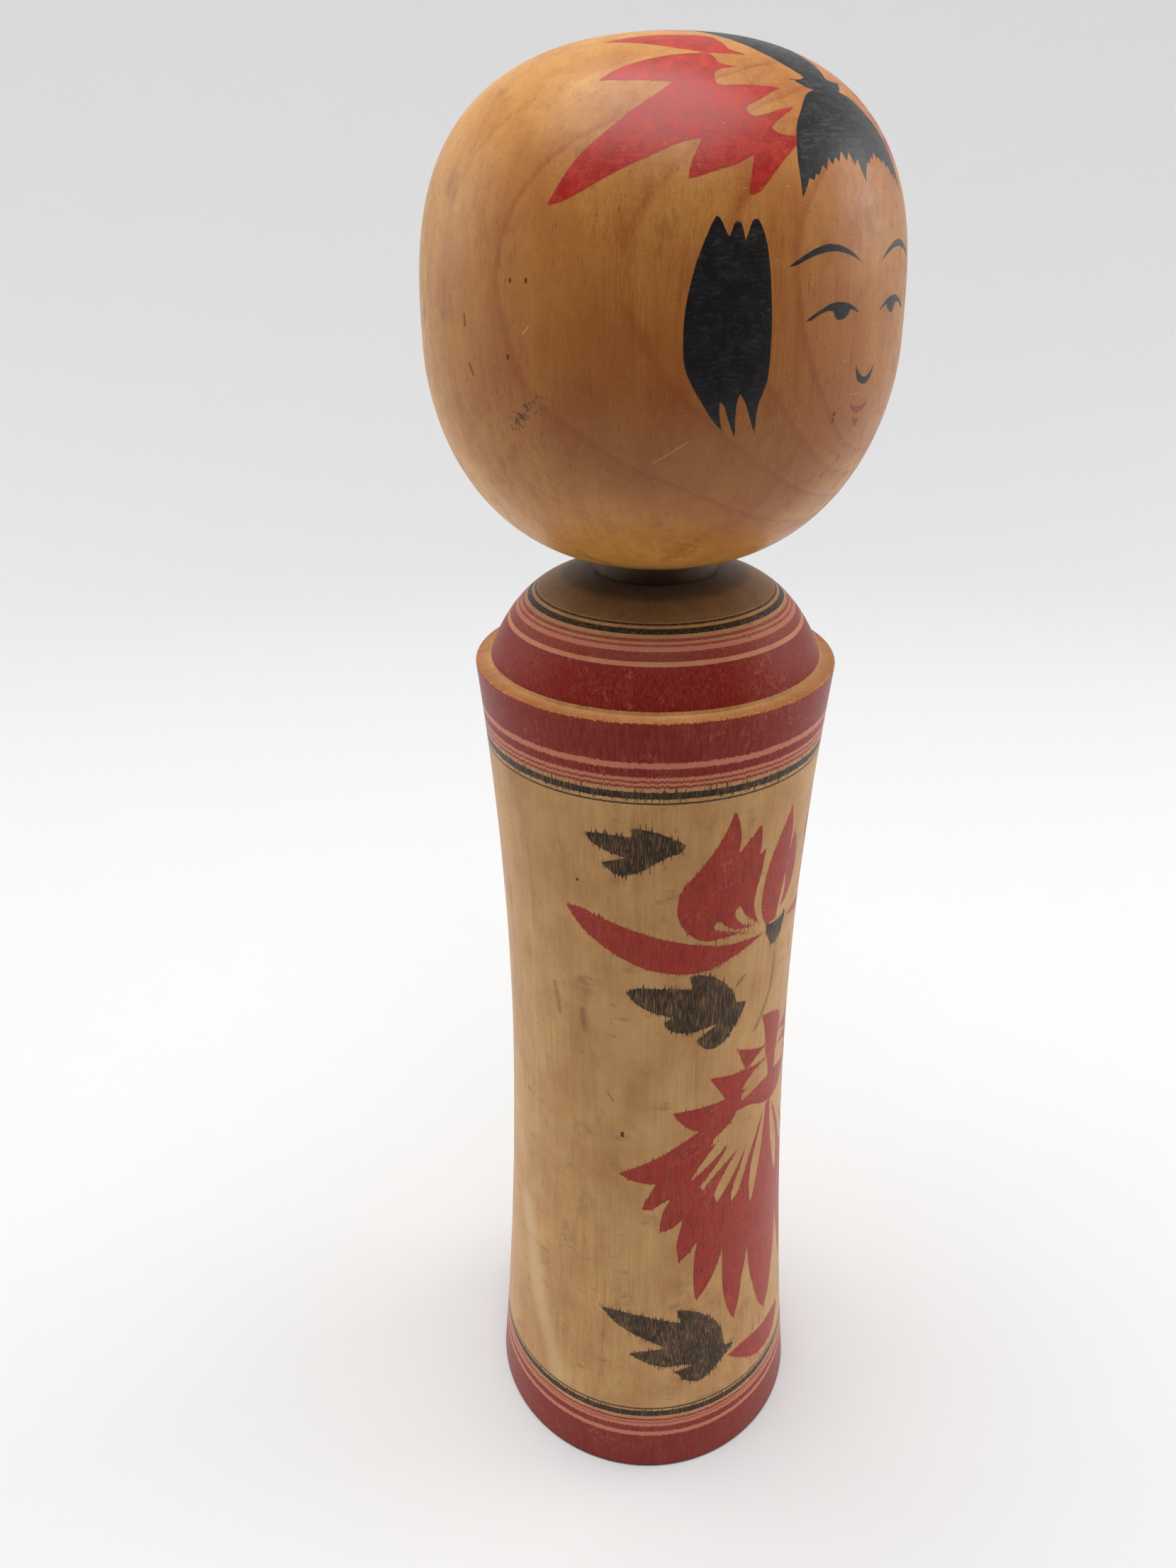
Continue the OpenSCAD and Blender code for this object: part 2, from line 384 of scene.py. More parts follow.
# Strokes on the crown, as (x, y) in mm on the crown laid flat: y runs from the crown towards the face
FRINGE = [
    [-3.6, 32.3], (-6, 32.9), (-8, 34), (-10, 35.3), (-12, 36.6), (-13.5, 38.3), (-15, 40.5), (-16, 42.8),
    [-17, 45.6], (-15.9, 45), [-14.2, 43.7], [-13.5, 44.5], [-12.7, 43.7], [-12, 44.1], [-10.6, 43],
    [-10.1, 43.9], [-8.7, 42.4], [-8.2, 43.6], [-7, 42.6], [-6.4, 43.5], [-5, 42], [-4.4, 43.7],
    [-3.1, 42.3], [-2.2, 44.4], [-1.2, 43.3], (-0.7, 45), [0, 46.9], (0.7, 45.4), [1.9, 43.8], [2.7, 44.1],
    [3.6, 42.9], [4.3, 43.4], [5.2, 42.1], [6.2, 43.1], [7, 42.4], [7.9, 43.5], [8.9, 42.5], [9.8, 43.7],
    [10.9, 42.9], [11.9, 44.2], [12.9, 43.6], [13.7, 44.4], [14.4, 43.8], (15.9, 44.9), [16.8, 45.7],
    (15.9, 42.8), (15, 40.5), (13.5, 38.3), (12, 36.6), (10, 35.3), (8, 34), (6, 32.9), [3.4, 32.3],
    [3, 29.6], [-3.1, 29.6]]
TUFT = [
    [-3.6, 32.5], [-3.1, 29.6], (-4.2, 27.6), (-5.1, 25), (-5.8, 21.5), (-6.1, 17), (-5.8, 11), (-5, 5),
    (-3.6, -1), [-2.6, -6.5], [-1.6, -3.8], [-0.2, -9.4], [1, -4.4], [2.3, -7.2], (3.4, -1), (4.9, 5),
    (5.8, 11), (6.1, 17), (5.8, 21.5), (5.1, 25), (4.2, 27.6), [3, 29.6], [3.4, 32.5]]
SPIKE = [[-7.3, 29.4], (-5, 30.1), [-2.6, 29.7], [-2.6, 32.6], (-4.5, 31.9), (-5.8, 30.6)]
RIBBON_LONG = [
    [-47.8, 12.7], (-44, 13.9), (-40, 15.3), (-35, 17.6), (-30, 19.4), (-26, 20.5), [-23.4, 20.9],
    (-25, 18.5), (-27, 15), [-28.8, 11], (-26, 12), (-22, 14.3), (-18, 17), (-15.2, 19.1), [-14.2, 20.2],
    (-14.5, 21.5), (-15, 22.6), [-13.2, 24.9], (-15, 24.1), (-16.7, 23.6), (-18.1, 24.3), (-18.8, 25.7),
    (-17, 27), (-14, 28.7), [-10, 30.8], (-12.2, 30.9), (-15, 31.1), (-18, 31), (-18.6, 31.7),
    (-17.8, 32.8), (-14, 33.6), [-9.9, 34.2], (-12, 34.6), (-15, 35), [-16.9, 35.4], (-16.1, 36.4),
    (-14.8, 37.4), [-12.6, 38.1], [-13.6, 39], (-18, 40), (-22, 40.9), (-24.6, 41.2), [-26.1, 40.5],
    (-24.5, 39), [-22, 36.8], (-25, 36.3), (-28, 35), (-31, 33.5), [-32.8, 32.3], (-30.9, 31.2),
    [-27.2, 30.1], (-30, 28.2), (-34.5, 25.6), (-39, 22.3), (-43, 19), (-46, 15.8)]
RIBBON_UPPER = [
    [-18.9, 3.8], (-18.3, 8), (-17.5, 12), (-16.4, 15.8), (-14.4, 19.4), [-12.6, 21], [-9, 23.4],
    [-10.3, 20.6], (-9, 18), (-8.2, 15), (-10.4, 12.3), (-13, 9.4), (-16, 6.4)]
RIBBON_BACK = [
    [-10.6, -14.5], (-11.2, -9), (-11, -4), (-10, 2), (-8.8, 7), [-6.8, 11.5], (-6.6, 7), (-6.4, 2),
    (-7, -4), (-8.6, -9.5)]

# Strokes on the face, as (azimuth in degrees, height in mm)
SIDE_HAIR = [
    [-39.7, 275.4], (-38.8, 274.8), [-37.2, 272.5], (-36.5, 273.7), [-35.8, 274.8], [-35.4, 274.3],
    [-35, 274.8], (-34.3, 273.7), [-33.8, 272.1], (-32.9, 273.7), [-32.1, 274.8], [-31.6, 274.7],
    [-31.2, 275], (-30.3, 274), (-29.4, 272.3), (-28.8, 270.2), (-28.3, 267), (-27.8, 262.4),
    (-27.7, 258.5), (-28, 254.1), (-28.7, 252.2), (-29.5, 250.6), (-29.8, 248.8), [-29.5, 245.9],
    (-30.3, 247), (-31.4, 248.8), (-32.7, 250.9), [-34, 252.2], (-34.4, 250.6), (-34.4, 248.2),
    [-34, 245.5], (-35.1, 247), (-36.2, 248.8), (-37.2, 250.5), [-38.1, 251.1], (-38, 249.4),
    (-37.5, 247.7), [-36.5, 246.1], (-37.9, 247.3), (-39.8, 248.8), (-42.2, 251.3), (-43.9, 253.2),
    (-45.5, 255.7), (-46, 258.3), (-46, 261.8), (-45.6, 264.4), (-44.8, 267), (-43.7, 269.7),
    (-42.2, 272.2), (-40.9, 274.1)]
BROW = [
    [-24.7, 268.6], (-22.3, 269.5), (-19.7, 270.4), (-16.3, 271.2), (-13.3, 271.4), (-10.2, 271),
    (-7.2, 270.2), (-5, 269.3), [-2.9, 268.2], (-5, 269), (-7.6, 269.7), (-10.2, 270.2), (-13.3, 270.4),
    (-16.3, 270.2), (-19.7, 269.6), (-22.3, 268.9)]
EYE = [
    [-20, 261.4], (-18, 262.2), (-15.8, 262.9), (-13.7, 263.5), (-11.5, 263.7), (-9.4, 263.6),
    (-7.2, 263.2), (-5, 262.4), [-3.2, 261.4], (-4.6, 261.9), (-5.9, 262.3), [-7.4, 262.6], (-8, 261.9),
    (-9.1, 261.4), (-10.6, 261.2), (-11.7, 261.5), [-12.6, 262.5], (-14.1, 262.6), (-16.3, 262.2),
    (-18.4, 261.5)]
NOSE = [
    [-4.1, 254.9], (-3.7, 253.7), (-2.7, 252.3), (-1.1, 251.7), (0.2, 251.5), (1.7, 251.8), (2.8, 252.8),
    [4, 254.6], (2.9, 253.7), (1.9, 253), (0.4, 252.6), (-1.1, 252.8), (-2.6, 253.5)]
MOUTH = [
    [-4.1, 249], (-2, 248.4), (0.2, 248.2), (2.3, 248.4), [3.9, 248.8], (3, 247.8), (1.5, 247.3),
    (-0.3, 247.1), (-2, 247.6), (-3.1, 248.1)]
LOWER_LIP = [[-1.5, 246.6], (-0.2, 246.2), [1.9, 246.5], (1.5, 245.6), [1, 244.8], (0, 245.4)]


def body_paint(piece):
    """The body's strokes as distances in mm: dark leaves, red flowers and thin brown stems."""
    flat = (math.radians(1) * WAIST_R * 1.03, 1.0)
    x, y = np.degrees(piece.azimuth) * flat[0], piece.z
    leaves = [LEAF_1, LEAF_2, LEAF_3]
    far = [moved(mirrored(s, LEAF_AXIS), 2.0 * k, 1.5 - k, 0.96) for k, s in enumerate(leaves)]
    bud = [BUD_SIDE, BUD_LONG, BUD_MIDDLE, BUD_RIGHT]
    bud += [mirrored(BUD_SIDE, BUD_AXIS + 4), mirrored(BUD_LONG, BUD_AXIS)]
    mum = [MUM_EDGE + mirrored(MUM_EDGE[:-1], MUM_AXIS)]
    fan = [MUM_FAN + mirrored(MUM_FAN[1:], MUM_AXIS)]
    rest = [MUM_TOP, MUM_LENS, LOW_LEAF]
    rest += [half for s in (MUM_UPPER, MUM_MIDDLE) for half in (s, mirrored(s, MUM_AXIS + 1))]
    leaf, leaf_level = painted(x, y, leaves + far, flat)
    calyx, calyx_level = painted(x, y, [CALYX], flat)
    mass, mass_level = painted(x, y, mum, flat)
    gap, gap_level = painted(x, y, fan, flat)
    flower, flower_level = painted(x, y, bud + rest, flat)
    red, red_level = np.maximum(mass, -gap), np.where(mass > -gap, mass_level, gap_level)
    red_level = np.where(flower < red, flower_level, red_level)
    stem, _ = painted(x, y, [trail(np.array(p), w / flat[0]) for p, w in STEMS], flat)
    return {
        "leaf": np.minimum(leaf, calyx), "leaf_level": np.where(leaf < calyx, leaf_level, calyx_level),
        "red": np.minimum(red, flower), "red_level": red_level, "stem": stem, "turned": piece.along}


def head_paint(piece):
    """The head's strokes as distances in mm: black hair and features, red ribbon and lips."""
    flat = (math.radians(1) * HEAD_R * 0.97, 1.0)
    from_crown = piece.along.max() - piece.along
    x, y = from_crown * np.sin(piece.azimuth), from_crown * np.cos(piece.azimuth)
    fx, fy = np.degrees(piece.azimuth) * flat[0], piece.z
    ribbon = [s for r in (RIBBON_LONG, RIBBON_UPPER, RIBBON_BACK) for s in (r, mirrored(r))]
    hair, _ = painted(x, y, [FRINGE, TUFT, SPIKE, mirrored(SPIKE)])
    red, _ = painted(x, y, ribbon)
    features = [s for f in (SIDE_HAIR, BROW, EYE) for s in (f, mirrored(f))] + [NOSE]
    line, _ = painted(fx, fy, features, flat)
    lips, _ = painted(fx, fy, [MOUTH, LOWER_LIP], flat)
    return {"ink": np.minimum(hair, line), "red": red, "lips": lips, "turned": piece.along}


# ---------------------------------------------------------------- finishes

class Nodes:
    """Shorthand for building a node tree: each method adds a node or two and returns an output socket."""

    def __init__(self, tree):
        self.tree = tree

    def feed(self, socket, value):
        """An input set to a value, or linked from another node's socket."""
        if isinstance(value, bpy.types.NodeSocket):
            self.tree.links.new(value, socket)
        else:
            socket.default_value = value

    def add(self, kind, values=(), out=0, **settings):
        """A node of that kind with its settings. values says what each input takes, by its name or number."""
        node = self.tree.nodes.new(kind)
        for key, value in settings.items():
            setattr(node, key, value)
        for key, value in dict(values).items():
            self.feed(node.inputs[key], value)
        return node.outputs[out]

    def math(self, operation, a, b=0.0, c=0.0, clamp=False):
        return self.add("ShaderNodeMath", {0: a, 1: b, 2: c}, operation=operation, use_clamp=clamp)

    def times(self, a, b, clamp=False):
        return self.math("MULTIPLY", a, b, clamp=clamp)

    def plus(self, value, factor, base, clamp=False):
        """base and factor times value together."""
        return self.math("MULTIPLY_ADD", value, factor, base, clamp=clamp)

    def total(self, base, *terms):
        """base and each (value, factor) product together."""
        for value, factor in terms:
            base = self.plus(value, factor, base)
        return base

    def sway(self, value, amount, base, clamp=False):
        """base moved by amount times what value has above a half."""
        return self.plus(self.math("SUBTRACT", value, 0.5), amount, base, clamp)

    def most(self, *values):
        """The largest of several values."""
        top = values[0]
        for value in values[1:]:
            top = self.math("MAXIMUM", top, value)
        return top

    def dot(self, a, b):
        return self.add("ShaderNodeVectorMath", {0: a, 1: b}, out="Value", operation="DOT_PRODUCT")

    def attribute(self, name):
        return self.add("ShaderNodeAttribute", attribute_name=name, out="Fac")

    def noise(self, vector, detail=2.0, roughness=0.5):
        values = {"Vector": vector, "Scale": 1.0, "Detail": detail, "Roughness": roughness}
        return self.add("ShaderNodeTexNoise", values, out="Fac", noise_dimensions="3D")

    def stretch(self, vector, scale, shift=(0, 0, 0)):
        """Coordinates times scale plus shift: a small scale along one axis draws a pattern out along it."""
        return self.add("ShaderNodeMapping", {"Vector": vector, "Scale": scale, "Location": shift})

    def grain(self, p, scale, shift=(0, 0, 0), detail=2.0, roughness=0.5):
        """Noise on stretched coordinates: scale is how often it changes per mm along each axis."""
        return self.noise(self.stretch(p, scale, shift), detail, roughness)

    def between(self, value, low, high, to_low=0.0, to_high=1.0, smooth=True):
        """value taken from low..high to to_low..to_high, held at the ends."""
        kind = "SMOOTHSTEP" if smooth else "LINEAR"
        values = {"Value": value, "From Min": low, "From Max": high, "To Min": to_low, "To Max": to_high}
        return self.add("ShaderNodeMapRange", values, interpolation_type=kind, clamp=True)

    def mix(self, factor, a, b):
        values = {"Factor": factor, 6: a, 7: b}
        return self.add("ShaderNodeMix", values, out=2, data_type="RGBA", blend_type="MIX")


def srgb(r, g, b, a=1.0):
    """A colour given as 0-255 screen values, as the linear values that a socket takes."""
    line = [((c / 255 + 0.055) / 1.055) ** 2.4 if c > 10 else c / 255 / 12.92 for c in (r, g, b)]
    return (*line, a)


def group(name, inputs, outputs):
    """A shader node group, as its Nodes helper, its inputs and its outputs.

    inputs gives each socket's kind and first value, outputs each one's kind."""
    tree = bpy.data.node_groups.new(name, "ShaderNodeTree")
    for key, (kind, value) in inputs.items():
        socket = tree.interface.new_socket(key, in_out="INPUT", socket_type="NodeSocket" + kind)
        if value is not None:
            socket.default_value = value
    for key, kind in outputs.items():
        tree.interface.new_socket(key, in_out="OUTPUT", socket_type="NodeSocket" + kind)
    start, end = tree.nodes.new("NodeGroupInput"), tree.nodes.new("NodeGroupOutput")
    return Nodes(tree), start.outputs, end.inputs


def use(nodes, tree, values):
    """The outputs of a group placed in another tree, with these inputs."""
    node = nodes.tree.nodes.new("ShaderNodeGroup")
    node.node_tree = tree
    for key, value in values.items():
        nodes.feed(node.inputs[key], value)
    return node.outputs


def ramp(nodes, value, low, high, stops, interpolation):
    """The amount at value by (place, amount) stops between low and high, and 0 at low and high themselves."""
    out = nodes.add("ShaderNodeValToRGB", {"Fac": nodes.between(value, low, high, smooth=False)})
    colours = out.node.color_ramp
    colours.interpolation = interpolation
    colours.elements[1].color = (0, 0, 0, 1)
    for place, amount in stops:
        colours.elements.new((place - low) / (high - low)).color = (amount, amount, amount, 1)
    return out


def growth(nodes, p, azimuth, tilt, bend, rings):
    """How far out in the tree a point lay (mm), and 1 on each ring's line, fading slowly on its inner side.

    The rings are sheets that face one azimuth, tilted a little, and bent by the square of the distance to
    the side of a line, as (distance, strength)."""
    a = math.radians(azimuth)
    face = (math.sin(a) * math.cos(tilt), -math.cos(a) * math.cos(tilt), math.sin(tilt))
    side = nodes.math("ADD", nodes.dot(p, (math.cos(a), math.sin(a), 0)), bend[0])
    out = nodes.plus(nodes.times(side, side), bend[1], nodes.dot(p, face))
    out = nodes.sway(nodes.grain(p, (0.06, 0.06, 0.05), (3, 1, 7), detail=3.0), 1.6, out)
    stops = []
    for k, ring in enumerate(rings):
        gap = ring - rings[k - 1] if k else 8.0
        stops += [(ring - gap * 0.6, 0.0), (ring - 0.45, 0.30), (ring, 1.0), (ring + 0.20, 0.0)]
    return out, ramp(nodes, out, rings[0] - 12.0, rings[-1] + 12.0, stops, "LINEAR")


def bands(nodes, along, stripes):
    """The amount of dye where the distance along the outline lies in a stripe (from, to, amount), else 0."""
    stops = {end: 0.0 for _, end, _ in stripes} | {start: amount for start, _, amount in stripes}
    return ramp(nodes, along, stripes[0][0] - 1.0, stripes[-1][1] + 1.0, sorted(stops.items()), "CONSTANT")


def billet_group():
    """Wood cut from a billet: growth rings, vertical fibre and slow changes of tone.

    Ring is the line of a growth ring and Core how much darker the wood is there. The fibre is noise drawn
    out along the axis, stronger in some places than in others. Coordinates are in mm."""
    n, i, o = group("billet", {
        "Position": ("Vector", None), "Ring": ("Float", 0.0), "Core": ("Float", 0.0), "Fibre": ("Float", 0.3),
        "Mottle": ("Float", 0.5), "Pale": ("Color", srgb(214, 178, 124)),
        "Deep": ("Color", srgb(170, 118, 66)),
    }, {"Color": "Color", "Height": "Float", "Dark": "Float"})
    p = i["Position"]
    patch = n.grain(p, (0.05, 0.05, 0.03), (8, 8, 1))
    streak = n.grain(p, (0.50, 0.50, 0.012), (9, 2, 5), detail=4.0, roughness=0.65)
    fibre = n.grain(p, (3.4, 3.4, 0.10), roughness=0.6)
    mottle = n.grain(p, (0.10, 0.10, 0.07), (1, 5, 2), detail=5.0, roughness=0.62)
    uneven = n.times(i["Fibre"], n.between(patch, 0.35, 0.65, 0.5, 2.0))
    tone = n.math("ADD", n.math("ADD", 0.30, i["Core"]), i["Ring"])
    tone = n.sway(streak, uneven, tone)
    tone = n.sway(fibre, n.times(uneven, 0.8), tone)
    tone = n.sway(mottle, i["Mottle"], tone, clamp=True)
    n.feed(o["Color"], n.mix(tone, i["Pale"], i["Deep"]))
    n.feed(o["Height"], n.plus(fibre, 0.7, n.times(streak, 0.3)))
    n.feed(o["Dark"], tone)
    return n.tree


def stroke_group():
    """Where a stroke's ink lies: its edge is crisp, but bleeds along the fibres where it runs level.

    Distance is in mm and below 0 inside. Edge is 1 in a narrow band just inside, where the ink dried."""
    n, i, o = group("stroke", {
        "Position": ("Vector", None), "Distance": ("Float", 5.0), "Level": ("Float", 0.0),
        "Bleed": ("Float", 1.0), "Soft": ("Float", 0.12), "Rough": ("Float", 0.1),
    }, {"Ink": "Float", "Edge": "Float"})
    spike = n.between(n.grain(i["Position"], (3.4, 3.4, 0.10), (1, 8, 3), detail=1.0), 0.50, 0.80)
    grit = n.grain(i["Position"], (2.2, 2.2, 1.2), (4, 4, 1))
    d = n.math("SUBTRACT", i["Distance"], n.times(n.times(spike, i["Level"]), i["Bleed"]))
    d = n.sway(grit, i["Rough"], d)
    n.feed(o["Ink"], n.between(d, i["Soft"], n.times(i["Soft"], -1.0)))
    n.feed(o["Edge"], n.between(d, -0.55, -0.1))
    return n.tree


def wear_group():
    """Age on any finish, each from 0 to 1: rubs, hair scratches, dents, specks, turning lines and smudges.

    Scratches are noise drawn out in one direction and cut off high, kept in a few places only."""
    masks = ("Rub", "Scratch", "Speck", "Dent", "Turning", "Smudge")
    n, i, o = group("wear", {"Position": ("Vector", None), "Amount": ("Float", 1.0)},
                    {name: "Float" for name in masks})
    p = i["Position"]
    cloud = n.grain(p, (0.11, 0.11, 0.11), (2, 6, 4), detail=4.0, roughness=0.62)
    grit = n.grain(p, (1.1, 1.1, 0.8), (7, 1, 2), detail=4.0, roughness=0.75)
    rub = n.times(n.between(cloud, 0.48, 0.68), n.between(grit, 0.48, 0.66))
    n.feed(o["Rub"], n.times(rub, i["Amount"], clamp=True))
    hairs = []
    for turn, scale in (((0.2, 0.3, 0.6), (0.16, 4.6, 4.6)), ((0.9, 0.5, 2.2), (0.12, 4.0, 4.0)),
                        ((1.4, 0.1, 0.9), (0.10, 5.0, 5.0))):
        along = n.add("ShaderNodeMapping", {"Vector": p, "Rotation": turn, "Scale": scale})
        few = n.grain(p, (0.20, 0.20, 0.20), (turn[2] * 9, 3, 1), detail=1.0)
        hairs.append(n.times(n.between(n.noise(along, detail=0.0), 0.76, 0.84), n.between(few, 0.50, 0.62)))
    n.feed(o["Scratch"], n.times(n.most(*hairs), i["Amount"], clamp=True))
    spots = n.add("ShaderNodeTexVoronoi", {"Vector": p, "Scale": 0.15, "Randomness": 1.0}, out="Distance",
                  feature="F1")
    n.feed(o["Speck"], n.times(n.between(spots, 0.050, 0.022), i["Amount"]))
    dents = n.add("ShaderNodeTexVoronoi", {"Vector": n.stretch(p, (1, 1, 0.7), (5, 5, 5)), "Scale": 0.11},
                  out="Distance", feature="SMOOTH_F1")
    n.feed(o["Dent"], n.times(n.between(dents, 0.16, 0.0), i["Amount"]))
    n.feed(o["Turning"], n.grain(p, (0.06, 0.06, 2.6), (3, 3, 3), detail=3.0, roughness=0.7))
    hands = n.grain(p, (0.12, 0.12, 0.10), (8, 3, 3), detail=5.0, roughness=0.68)
    n.feed(o["Smudge"], n.between(hands, 0.55, 0.75))
    return n.tree


def mark_group():
    """One mark at its own place: 1 within Width of the line from Start to End (in mm), ragged by a noise."""
    n, i, o = group("mark", {"Position": ("Vector", None), "Start": ("Vector", (0, 0, 0)),
                             "End": ("Vector", (0, 0, 1)), "Width": ("Float", 0.5), "Soft": ("Float", 0.3),
                             "Ragged": ("Float", 0.3)}, {"Mask": "Float"})
    p = i["Position"]
    run = n.add("ShaderNodeVectorMath", {0: i["End"], 1: i["Start"]}, operation="SUBTRACT")
    gone = n.add("ShaderNodeVectorMath", {0: p, 1: i["Start"]}, operation="SUBTRACT")
    share = n.math("DIVIDE", n.dot(gone, run), n.math("MAXIMUM", n.dot(run, run), 0.001), clamp=True)
    foot = n.add("ShaderNodeVectorMath", {0: run, "Scale": share}, operation="SCALE")
    off = n.add("ShaderNodeVectorMath", {0: gone, 1: foot}, out="Value", operation="DISTANCE")
    rough = n.grain(p, (1.3, 1.3, 0.7), (2, 2, 8), detail=3.0, roughness=0.7)
    off = n.sway(rough, n.times(i["Ragged"], i["Width"]), off)
    inner = n.times(i["Width"], n.math("SUBTRACT", 1.0, i["Soft"]))
    n.feed(o["Mask"], n.between(off, i["Width"], inner))
    return n.tree


# Stripes as (from, to, amount of dye): on the flank by height in mm, on the dome by mm out from its foot
LOW_RED = [(0.2, 10.4, 1.0), (11.6, 13.4, 0.97), (14.4, 14.8, 0.7), (15.3, 15.9, 0.9)]
LOW_PINK = [(10.4, 11.6, 0.9), (13.4, 14.4, 0.95), (14.8, 15.3, 0.8), (15.9, 16.7, 0.45)]
LOW_BLACK = [(16.85, 18.5, 1.0), (19.1, 19.55, 0.95)]
HIGH_RED = [(184.8, 185.35, 0.9), (185.9, 186.35, 0.9), (187.05, 188.8, 1.0), (189.95, 197.75, 1.0)]
HIGH_PINK = [(184.2, 184.8, 0.35), (185.35, 185.9, 0.8), (186.35, 187.05, 0.9), (188.8, 189.95, 0.9)]
HIGH_BLACK = [(181.45, 181.85, 0.95), (182.6, 184.0, 1.0)]
DOME_RED = [(0.6, 8.4, 1.0), (9.25, 11.05, 0.93), (11.95, 12.4, 0.8), (12.95, 13.55, 0.85)]
DOME_PINK = [(8.4, 9.25, 0.6), (11.05, 11.95, 0.95), (12.4, 12.95, 0.7), (13.55, 13.9, 0.5)]
DOME_BLACK = [(14.35, 15.5, 1.0), (16.15, 16.6, 0.95)]

# Growth rings, by mm out in the tree from the piece's axis
BODY_RINGS = [-22.0, -9.0, 3.0, 14.0, 24.0, 31.0]
HEAD_RINGS = [56.3, 63.7, 68.5, 72.0, 74.9]

CAMERA_AZIMUTH = -50.8
CAMERA_DISTANCE, CAMERA_HEIGHT = 0.21565, 0.2793
PITCH, YAW, ROLL = 27.24, -3.128, 0.943
LENS, SENSOR = 26.81, 36.0
VIEW_SIDE = (math.sin(math.radians(CAMERA_AZIMUTH)), -math.cos(math.radians(CAMERA_AZIMUTH)), 0.0)

DYE_RED = srgb(158, 20, 24)
INK = srgb(27, 23, 20)


def new_material(name):
    """A material, its Nodes helper, its Principled shader and its Object coordinates in mm."""
    material = bpy.data.materials.new(name)
    material.use_nodes = True
    n = Nodes(material.node_tree)
    place = n.add("ShaderNodeTexCoord", out="Object")
    return material, n, n.tree.nodes["Principled BSDF"], n.stretch(place, (1 / MM,) * 3)


def dress(nodes, shader, colour, rough, height, strength):
    """The shader given its colour, its roughness and a fine relief of that height in mm."""
    bump = nodes.add("ShaderNodeBump", {"Height": height, "Strength": strength, "Distance": MM}, out="Normal")
    for name, value in (("Base Color", colour), ("Roughness", rough), ("Normal", bump)):
        nodes.feed(shader.inputs[name], value)


def lay(nodes, under, coats):
    """Coats, as (mask, colour), laid one over the other on what is under them."""
    for mask, colour in coats:
        under = nodes.mix(mask, under, colour)
    return under


def stroke(nodes, groups, p, paint, **values):
    """The stroke group on one of a piece's painted distances."""
    return use(nodes, groups["stroke"], {"Position": p, "Distance": nodes.attribute(paint), **values})


def on_body(azimuth, height):
    """The point on the body's flank at that azimuth and height, in mm."""
    a, r = math.radians(azimuth), float(flank(height))
    return (r * math.sin(a), -r * math.cos(a), height)


def on_head(azimuth, height):
    """The point on the head at that azimuth and height, in mm."""
    up = height > CHEEK_Z
    h, powers = (CROWN_H, CROWN_POWERS) if up else (CHIN_H, CHIN_POWERS)
    turn = math.asin((abs(height - CHEEK_Z) / h) ** (powers[1] / 2))
    a, r = math.radians(azimuth), HEAD_R * math.cos(turn) ** (2 / powers[0])
    return (r * math.sin(a), -r * math.cos(a), height)


def marks(nodes, groups, p, on_piece, places):
    """The strongest of several marks on a piece, each (start, end, width, soft, ragged, amount)."""
    masks = []
    for start, end, width, soft, ragged, amount in places:
        mask = use(nodes, groups["mark"], {"Position": p, "Start": on_piece(*start), "End": on_piece(*end),
                                           "Width": width, "Soft": soft, "Ragged": ragged})["Mask"]
        masks.append(nodes.times(mask, amount))
    return nodes.most(*masks)


